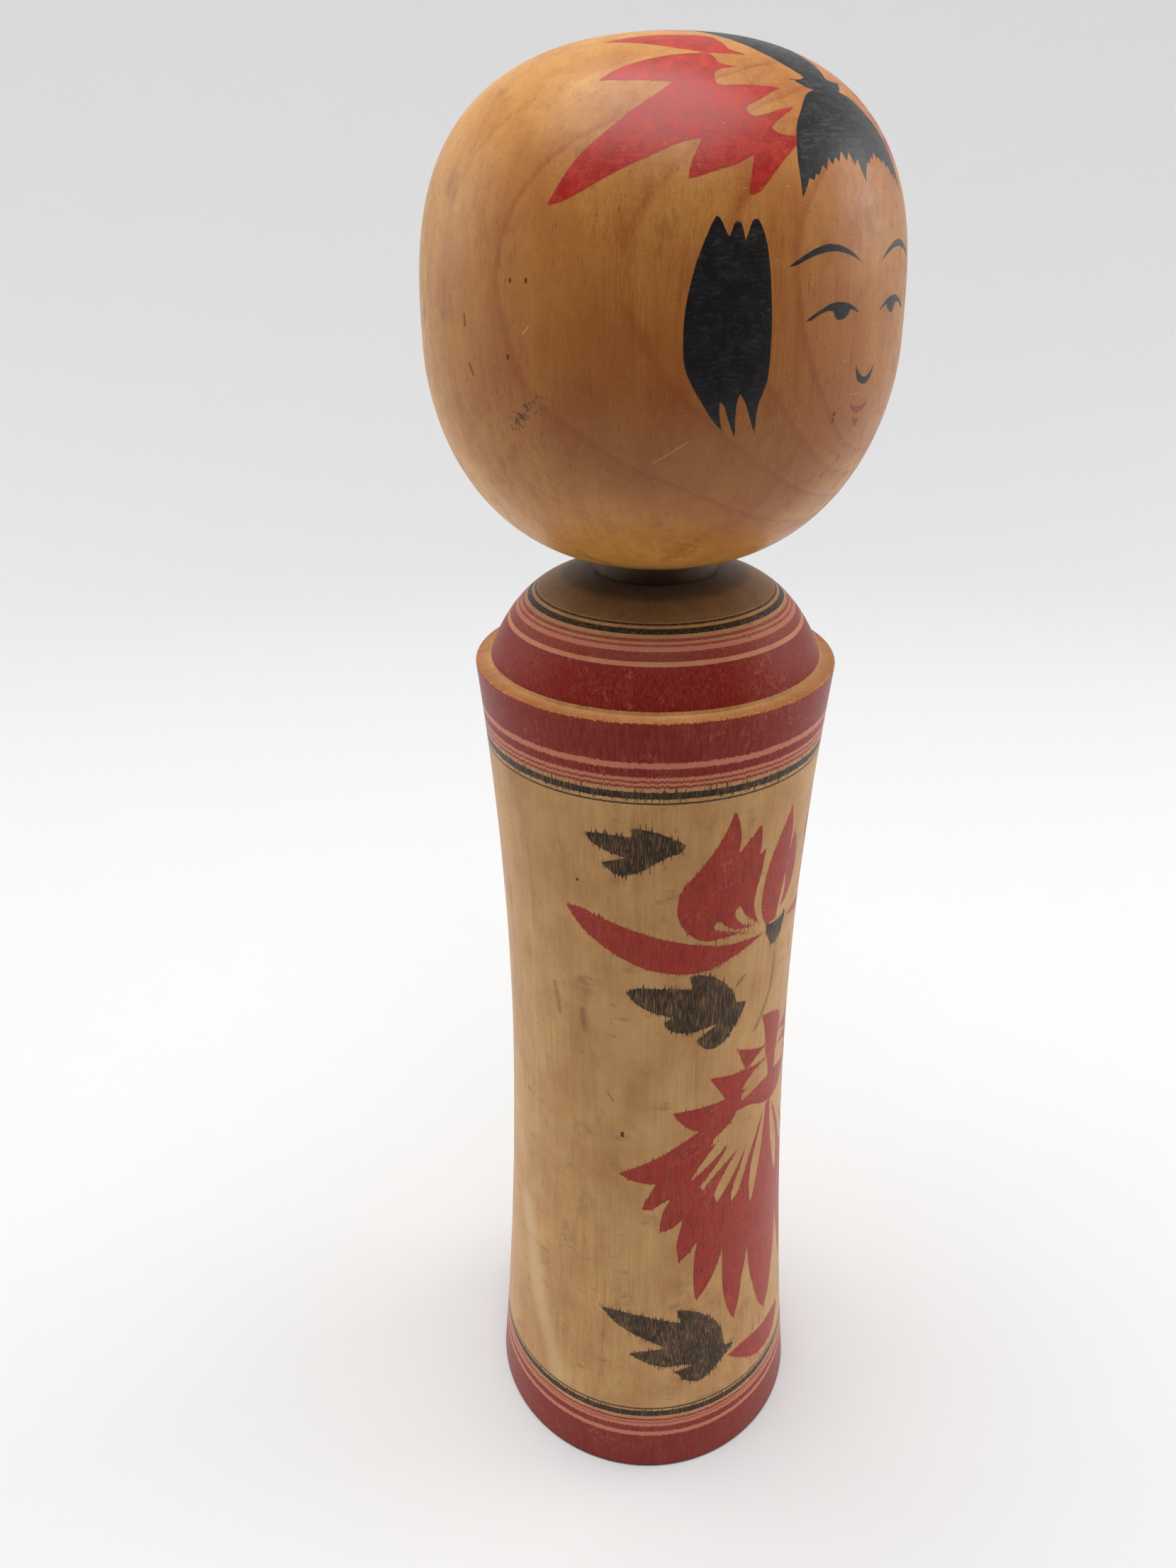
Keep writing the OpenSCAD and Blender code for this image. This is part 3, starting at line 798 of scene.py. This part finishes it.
def body_finish(groups):
    """Waxed wood gone tan, with dyed bands, red flowers and faded ink leaves that bled along the fibre."""
    material, n, shader, p = new_material("painted_body_wood")
    z = n.add("ShaderNodeSeparateXYZ", {0: p}, out="Z")
    up_dome = n.attribute("dome")
    out, ring = growth(n, p, -30.0, 0.05, (0.0, 0.004), BODY_RINGS)
    wood = use(n, groups["billet"], {
        "Position": p, "Ring": n.times(ring, 0.10), "Core": n.between(out, -18.0, 34.0, 0.0, 0.22),
        "Fibre": 0.42, "Mottle": 1.15, "Pale": srgb(228, 181, 122), "Deep": srgb(174, 119, 66)})
    wear = use(n, groups["wear"], {"Position": p, "Amount": 1.0})
    streak = n.grain(p, (2.6, 2.6, 0.16), (6, 6, 1), detail=3.0, roughness=0.7)
    weave = n.grain(p, (3.0, 3.0, 1.1), (2, 9, 1), roughness=0.7)
    pores = n.grain(p, (5.5, 5.5, 0.30), (3, 1, 1), detail=1.0)
    pool = n.grain(p, (0.30, 0.30, 0.22), (7, 7, 7), detail=3.0, roughness=0.6)

    # Bands: the dye ran a little along the fibres, and the black ran further in single spikes
    ragged = n.grain(p, (3.6, 3.6, 0.16), (5, 1, 2), roughness=0.7)
    spike = n.between(n.grain(p, (3.0, 3.0, 0.12), (1, 7, 7), detail=1.0), 0.52, 0.72)
    z_red = n.sway(ragged, 1.3, z)
    z_black = n.sway(ragged, 0.45, z)
    z_up, z_down = n.plus(spike, -1.1, z_black), n.plus(spike, 0.7, z_black)
    dome = n.sway(ragged, 0.30, up_dome)
    band_red = n.most(bands(n, z_red, LOW_RED), bands(n, z_red, HIGH_RED), bands(n, dome, DOME_RED))
    pink = n.most(bands(n, z_red, LOW_PINK), bands(n, z_red, HIGH_PINK), bands(n, dome, DOME_PINK))
    spikes = [n.times(bands(n, bled, HIGH_BLACK[1:]), 0.85) for bled in (z_up, z_down)]
    spikes.append(n.times(bands(n, z_up, LOW_BLACK[:1]), 0.8))
    band_black = n.most(bands(n, z_black, LOW_BLACK), bands(n, z_black, HIGH_BLACK), *spikes,
                        bands(n, dome, DOME_BLACK))

    # Strokes: streaked red, and leaves whose thin ink left the pores bare
    flower = stroke(n, groups, p, "red", Level=n.attribute("red_level"), Bleed=0.8, Rough=0.22)
    leaf = stroke(n, groups, p, "leaf", Level=n.attribute("leaf_level"), Bleed=1.6, Rough=0.30)
    stem = n.times(n.between(n.attribute("stem"), 0.15, -0.25), 0.45)
    red = n.times(n.most(band_red, n.times(flower["Ink"], 0.96)), n.between(streak, 0.30, 0.75, 1.0, 0.86))
    bright = n.times(n.between(weave, 0.35, 0.72), n.math("SUBTRACT", 1.0, n.times(band_red, 0.6)))
    red_colour = lay(n, DYE_RED, [
        (band_red, srgb(130, 12, 17)),
        (bright, srgb(180, 38, 40)),
        (n.times(n.between(pool, 0.45, 0.65), 0.45), srgb(128, 12, 18)),
        (n.times(flower["Edge"], 0.30), srgb(134, 14, 20))])
    gap = n.times(n.between(pores, 0.50, 0.66), n.between(pool, 0.30, 0.60, 0.5, 1.0))
    leaf_amount = n.times(leaf["Ink"], n.math("SUBTRACT", 0.98, n.times(gap, 0.36)))
    leaf_colour = n.mix(n.between(pool, 0.40, 0.65), srgb(40, 30, 20), srgb(64, 49, 33))
    black_amount = n.times(band_black, n.between(streak, 0.40, 0.8, 0.98, 0.70))
    painted_on = n.most(red, leaf_amount, black_amount)

    # Age: a pale streak, dirt, and paint rubbed off the dome and the ledge's edge; and painted shade on the
    # dome's top under the head
    pale_streak = marks(n, groups, p, on_body, [
        ((-108, 66), (-97, 40), 5.0, 0.9, 0.5, 0.45),
        ((-97, 40), (-86, 22), 4.5, 0.9, 0.5, 0.40)])
    dirt = marks(n, groups, p, on_body, [
        ((-76, 163), (-76, 163.2), 0.35, 0.4, 0.3, 0.9),
        ((-60, 101), (-60, 101.8), 0.48, 0.4, 0.4, 0.9),
        ((-66, 112), (-63.5, 110), 0.22, 0.5, 0.3, 0.5),
        ((-88, 136), (-86, 129), 0.9, 0.9, 0.9, 0.35),
        ((-76, 132), (-75, 127), 1.1, 0.9, 0.9, 0.30)])
    blotch = n.grain(p, (0.16, 0.16, 0.32), (2, 3, 9), detail=4.0, roughness=0.6)
    # painted shade: the dome's top inside its thin black line laid dark brown-grey, where the head above
    # shades it
    shade_under_head = n.most(n.between(up_dome, 16.5, 17.0, 0.0, 0.52), n.between(up_dome, 17.0, 24.0, 0.0, 0.80))
    worn = n.times(n.between(up_dome, 9.5, 11.5), n.between(up_dome, 14.3, 13.6))
    worn = n.times(worn, n.between(weave, 0.50, 0.66))
    rub = n.times(n.most(wear["Rub"], worn), n.times(painted_on, 0.32))
    edge = n.times(n.attribute("edge"), n.between(weave, 0.42, 0.60, 0.25, 0.9))

    colour = lay(n, wood["Color"], [
        (n.times(wear["Smudge"], 0.50), srgb(150, 102, 60)),
        (n.times(n.between(blotch, 0.60, 0.72), 0.36), srgb(118, 80, 46)),
        # painted shade under the head
        (shade_under_head, srgb(70, 54, 43)),
        (pale_streak, srgb(236, 204, 156)),
        (stem, srgb(92, 58, 38)),
        (n.times(pink, n.between(streak, 0.3, 0.7, 1.0, 0.7)), srgb(214, 122, 104)),
        (red, red_colour),
        (leaf_amount, leaf_colour),
        (black_amount, INK),
        (rub, srgb(224, 150, 128)),
        (n.times(wear["Scratch"], 0.30), srgb(226, 176, 132)),
        (n.times(wear["Speck"], 0.45), srgb(92, 60, 36)),
        (dirt, srgb(66, 40, 22)),
        (edge, srgb(176, 92, 40)),
        # painted shade: the foot's rounded bottom edge laid dark brown, where it meets the floor
        (n.times(n.between(z, 0.9, 0.3), 0.85), srgb(54, 24, 16))])
    rough = n.total(0.52, (wood["Dark"], -0.10), (painted_on, -0.04), (wear["Rub"], 0.15))
    height = n.total(n.times(wear["Scratch"], -0.05), (wood["Height"], 0.040), (wear["Dent"], -0.10),
                     (wear["Turning"], 0.025))
    dress(n, shader, colour, n.sway(streak, 0.25, rough), height, 0.7)
    shader.inputs["Specular IOR Level"].default_value = 0.16
    shader.inputs["Sheen Weight"].default_value = 0.12
    shader.inputs["Sheen Roughness"].default_value = 0.35
    return material


def head_finish(groups):
    """Polished wax over amber wood: deep ring lines, black ink hair with grey rubs and painted highlight
    towards the crown, bright red ribbon.
    """
    material, n, shader, p = new_material("painted_head_wood")
    z = n.add("ShaderNodeSeparateXYZ", {0: p}, out="Z")
    out, ring = growth(n, p, -32.3, 0.117, (9.15, 0.0158), HEAD_RINGS)
    wood = use(n, groups["billet"], {
        "Position": p, "Ring": n.times(ring, n.between(out, 54.0, 66.0, 0.12, 0.30)),
        "Core": n.between(out, 36.0, 76.0, -0.12, 0.34), "Fibre": 0.42, "Mottle": 1.05,
        "Pale": srgb(219, 159, 78), "Deep": srgb(164, 88, 36)})
    wear = use(n, groups["wear"], {"Position": p, "Amount": 1.0})
    streak = n.grain(p, (1.2, 1.2, 0.5), (6, 6, 1), detail=3.0, roughness=0.7)
    cloud = n.grain(p, (0.45, 0.45, 0.45), (3, 8, 5), detail=5.0, roughness=0.72)
    bristle = n.grain(p, (0.5, 0.5, 2.6), (3, 5, 5), detail=4.0, roughness=0.7)
    ticks = n.grain(p, (2.4, 2.4, 0.22), (9, 5, 5), roughness=0.6)
    crumbs = n.grain(p, (1.1, 1.1, 1.1), (6, 2, 8), detail=3.0, roughness=0.75)

    ink = stroke(n, groups, p, "ink", Bleed=0.0, Rough=0.10, Soft=0.07)
    ribbon = stroke(n, groups, p, "red", Bleed=0.0, Rough=0.25, Soft=0.14)
    lips = stroke(n, groups, p, "lips", Bleed=0.0, Rough=0.20, Soft=0.10)
    red_colour = n.mix(n.between(cloud, 0.38, 0.66), srgb(168, 16, 14), srgb(196, 42, 32))
    red_colour = n.mix(n.times(ribbon["Edge"], 0.35), red_colour, srgb(146, 18, 18))
    # grey on the black ink, stronger towards the crown: partly real rubs, partly painted highlight
    rubs_and_highlight = n.times(n.between(bristle, 0.42, 0.66), n.between(cloud, 0.42, 0.60))
    rubs_and_highlight = n.times(rubs_and_highlight, n.between(z, 268.0, 282.0, 0.12, 0.30))
    ink_colour = n.mix(rubs_and_highlight, srgb(15, 17, 19), srgb(104, 114, 122))

    # the face's side towards the view laid darker amber: partly the wood's deeper tone, partly painted shade
    # where it faces the dim room
    deep_tone_and_shade = marks(n, groups, p, on_head, [
        ((-62, 250), (-22, 247), 27.0, 0.95, 0.3, 0.58),
        ((-86, 256), (-62, 250), 24.0, 0.95, 0.3, 0.34)])
    dirt = marks(n, groups, p, on_head, [
        ((-83, 267), (-83, 267.2), 0.30, 0.4, 0.3, 0.9),
        ((-79, 267), (-79, 267.3), 0.28, 0.4, 0.3, 0.9),
        ((-84, 256.5), (-84, 256.8), 0.32, 0.4, 0.3, 0.9),
        ((-8.7, 247.6), (-8.7, 247.8), 0.40, 0.4, 0.3, 0.8),
        ((-8.7, 246.6), (-8.7, 246.8), 0.35, 0.4, 0.3, 0.8),
        ((-97, 262), (-97, 260.5), 0.30, 0.4, 0.9, 0.7),
        ((-96, 255), (-95, 253.5), 0.35, 0.4, 0.9, 0.7)])
    patch = marks(n, groups, p, on_head, [
        ((-84, 247.0), (-77, 250.5), 2.4, 0.9, 0.8, 0.85),
        ((-6, 236.5), (-2, 240.0), 1.6, 0.9, 0.8, 0.60)])
    nick = marks(n, groups, p, on_head, [
        ((-52, 242), (-44, 245.4), 0.16, 0.8, 0.8, 0.28),
        ((-80, 260), (-78.5, 261), 0.16, 0.6, 0.8, 0.40)])
    dirt = n.most(dirt, n.times(patch, n.between(crumbs, 0.53, 0.60)))
    tick = n.times(n.between(ticks, 0.56, 0.68), n.between(cloud, 0.46, 0.60))

    colour = lay(n, wood["Color"], [
        (deep_tone_and_shade, srgb(150, 78, 32)),
        (n.times(wear["Smudge"], 0.50), srgb(132, 80, 36)),
        (n.times(tick, 0.42), srgb(120, 62, 26)),
        # painted shade: the neck under the head laid dark brown, where the head shades it
        (n.between(z, 221.5, 218.4, 0.0, 0.88), srgb(50, 37, 27)),
        (n.times(ribbon["Ink"], n.between(streak, 0.3, 0.8, 0.98, 0.86)), red_colour),
        (n.times(lips["Ink"], 0.82), srgb(146, 48, 28)),
        (n.times(ink["Ink"], n.between(cloud, 0.60, 0.85, 0.99, 0.92)), ink_colour),
        (n.times(wear["Scratch"], n.plus(ink["Ink"], -0.20, 0.28)), srgb(236, 196, 140)),
        (nick, srgb(244, 208, 156)),
        (n.times(wear["Speck"], 0.5), srgb(92, 54, 28)),
        (dirt, srgb(66, 38, 20))])
    rough = n.total(0.30, (streak, 0.16), (n.between(cloud, 0.4, 0.65), 0.12), (wear["Rub"], 0.15))
    height = n.total(n.times(wear["Scratch"], -0.04), (wood["Height"], 0.020), (wear["Dent"], -0.08),
                     (cloud, 0.085), (wear["Turning"], 0.035))
    dress(n, shader, colour, rough, height, 0.6)
    shader.inputs["Specular IOR Level"].default_value = 0.30
    shader.inputs["Coat Weight"].default_value = 0.15
    shader.inputs["Coat Roughness"].default_value = 0.26
    return material


def paper_finish():
    """Matt white paper, shaded down to a dim room on the side the view comes from."""
    material, n, shader, p = new_material("pale_paper")
    shade = n.between(n.dot(p, VIEW_SIDE), 290.0, 700.0)
    n.feed(shader.inputs["Base Color"], n.mix(shade, srgb(238, 238, 238), srgb(92, 91, 90)))
    shader.inputs["Roughness"].default_value = 0.85
    return material


# ---------------------------------------------------------------- the doll

def hand_wobble(piece, depth):
    """How far the surface lies inside the true round, in mm: slow waves that a hand-held gouge leaves."""
    a, z = piece.azimuth, piece.z
    wave = np.sin(2 * a + z / 23.0) + np.sin(3 * a - z / 11.0 + 1.0) + np.sin(z / 4.1) * np.sin(a + z / 37.0)
    return depth * (wave + 3) / 6 * np.clip((piece.r - SEAT_R) / 4, 0, 1)


def make_doll():
    """Both turned pieces with their paint, each riding on its body."""
    groups = {"billet": billet_group(), "stroke": stroke_group(), "wear": wear_group(), "mark": mark_group()}
    (r, z), seat_z = body_outline()
    body = Turned("body_turned", r, z, columns(WAIST_R, [(88, 0.5), (180, 2.2)]))
    rows = np.flatnonzero((r[:-1] > RIM_R - LEDGE_W) & (z[:-1] >= LEDGE_Z - 1e-6))
    foot = rows[0] + 1
    dome_start = np.concatenate([[0], np.cumsum(np.hypot(np.diff(r), np.diff(z)))])[foot]
    paint = body_paint(body)
    paint["dome"] = body.along - dome_start
    paint["edge"] = np.exp(-((body.z - LEDGE_Z) / 0.35) ** 2) * (body.r > RIM_R - 1.0)
    body_piece = body.make(hand_wobble(body, 0.10), paint)
    body_piece.data.materials.append(body_finish(groups))
    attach(body_piece, "body")
    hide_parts("body")

    head = Turned("head_turned", *head_outline(seat_z), columns(HEAD_R, [(50, 0.33), (105, 0.8), (180, 2.4)]))
    head_piece = head.make(hand_wobble(head, 0.12), head_paint(head))
    head_piece.data.materials.append(head_finish(groups))
    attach(head_piece, "head")
    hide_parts("head")


# ---------------------------------------------------------------- stage, light and camera

def make_stage():
    """A pale floor that curves up into a round wall: flat, then a quarter circle, then upright."""
    flat, bend, top, sides, below = 700.0, 450.0, 1500.0, 96, 0.1
    a = np.linspace(0, math.pi / 2, 24)
    r = np.concatenate([[0, 60, 200, 400], flat + bend * np.sin(a), [flat + bend]])
    z = np.concatenate([[0, 0, 0, 0], bend * (1 - np.cos(a)), [top]])
    turns = np.linspace(0, 2 * math.pi, sides, endpoint=False)
    co = np.stack([np.outer(r, np.sin(turns)), -np.outer(r, np.cos(turns)), np.outer(z, np.ones(sides))], -1)
    i, j = np.meshgrid(np.arange(len(r) - 1), np.arange(sides), indexing="ij")
    k = (j + 1) % sides
    quads = np.stack([i * sides + j, (i + 1) * sides + j, (i + 1) * sides + k, i * sides + k], -1)
    mesh = bpy.data.meshes.new("floor")
    mesh.from_pydata(((co.reshape(-1, 3) - (0, 0, below)) * MM).tolist(), [], quads.reshape(-1, 4).tolist())
    mesh.polygons.foreach_set("use_smooth", np.ones(len(mesh.polygons), bool))
    floor = bpy.data.objects.new("floor", mesh)
    floor.data.materials.append(paper_finish())
    bpy.context.scene.collection.objects.link(floor)


def softbox(name, place, target, size, power):
    """A white rectangular lamp at place, in metres, that faces the target."""
    data = bpy.data.lights.new(name, "AREA")
    data.shape = "RECTANGLE"
    data.size, data.size_y = size
    data.energy = power
    lamp = bpy.data.objects.new(name, data)
    lamp.location = place
    lamp.visible_camera = False
    lamp.rotation_euler = (Vector(target) - Vector(place)).to_track_quat("-Z", "Y").to_euler()
    bpy.context.scene.collection.objects.link(lamp)


def make_light():
    """Even light from a pale room, a large soft lamp above and a weak one on either side."""
    world = bpy.data.worlds.new("room")
    world.use_nodes = True
    sky = world.node_tree.nodes["Background"].inputs
    sky["Color"].default_value = (0.98, 0.99, 1.0, 1)
    sky["Strength"].default_value = 0.38
    bpy.context.scene.world = world
    softbox("overhead", (-0.10, -0.02, 1.10), (0.0, 0.0, 0.1), (1.0, 0.8), 9.6)
    softbox("left_panel", (-0.34, 0.82, 0.55), (0, 0, 0.18), (0.5, 0.5), 1.0)
    softbox("right_panel", (0.73, -0.50, 0.55), (0, 0, 0.18), (0.5, 0.5), 2.0)


def make_camera():
    """A hand-held view: level with the forehead, pitched down, and a little turned and tilted.

    The three axes start as for a camera that looks along +Y, are pitched, yawed and rolled, and then carried
    round the doll's axis."""
    p, y, r = (math.radians(v) for v in (PITCH, YAW, ROLL))
    right = Vector((1, 0, 0))
    ahead = Vector((0, math.cos(p), -math.sin(p)))
    up = Vector((0, math.sin(p), math.cos(p)))
    ahead, right = math.cos(y) * ahead + math.sin(y) * right, math.cos(y) * right - math.sin(y) * ahead
    right, up = math.cos(r) * right + math.sin(r) * up, math.cos(r) * up - math.sin(r) * right
    axes = Matrix((right, up, -ahead)).transposed().to_4x4()
    data = bpy.data.cameras.new("camera")
    data.lens, data.sensor_width = LENS, SENSOR
    data.clip_start = 0.01
    camera = bpy.data.objects.new("camera", data)
    place = Matrix.Translation((0, -CAMERA_DISTANCE, CAMERA_HEIGHT)) @ axes
    camera.matrix_world = Matrix.Rotation(math.radians(CAMERA_AZIMUTH), 4, "Z") @ place
    bpy.context.scene.collection.objects.link(camera)
    bpy.context.scene.camera = camera


make_doll()
make_stage()
make_light()
make_camera()
bpy.context.scene.view_settings.view_transform = "Standard"
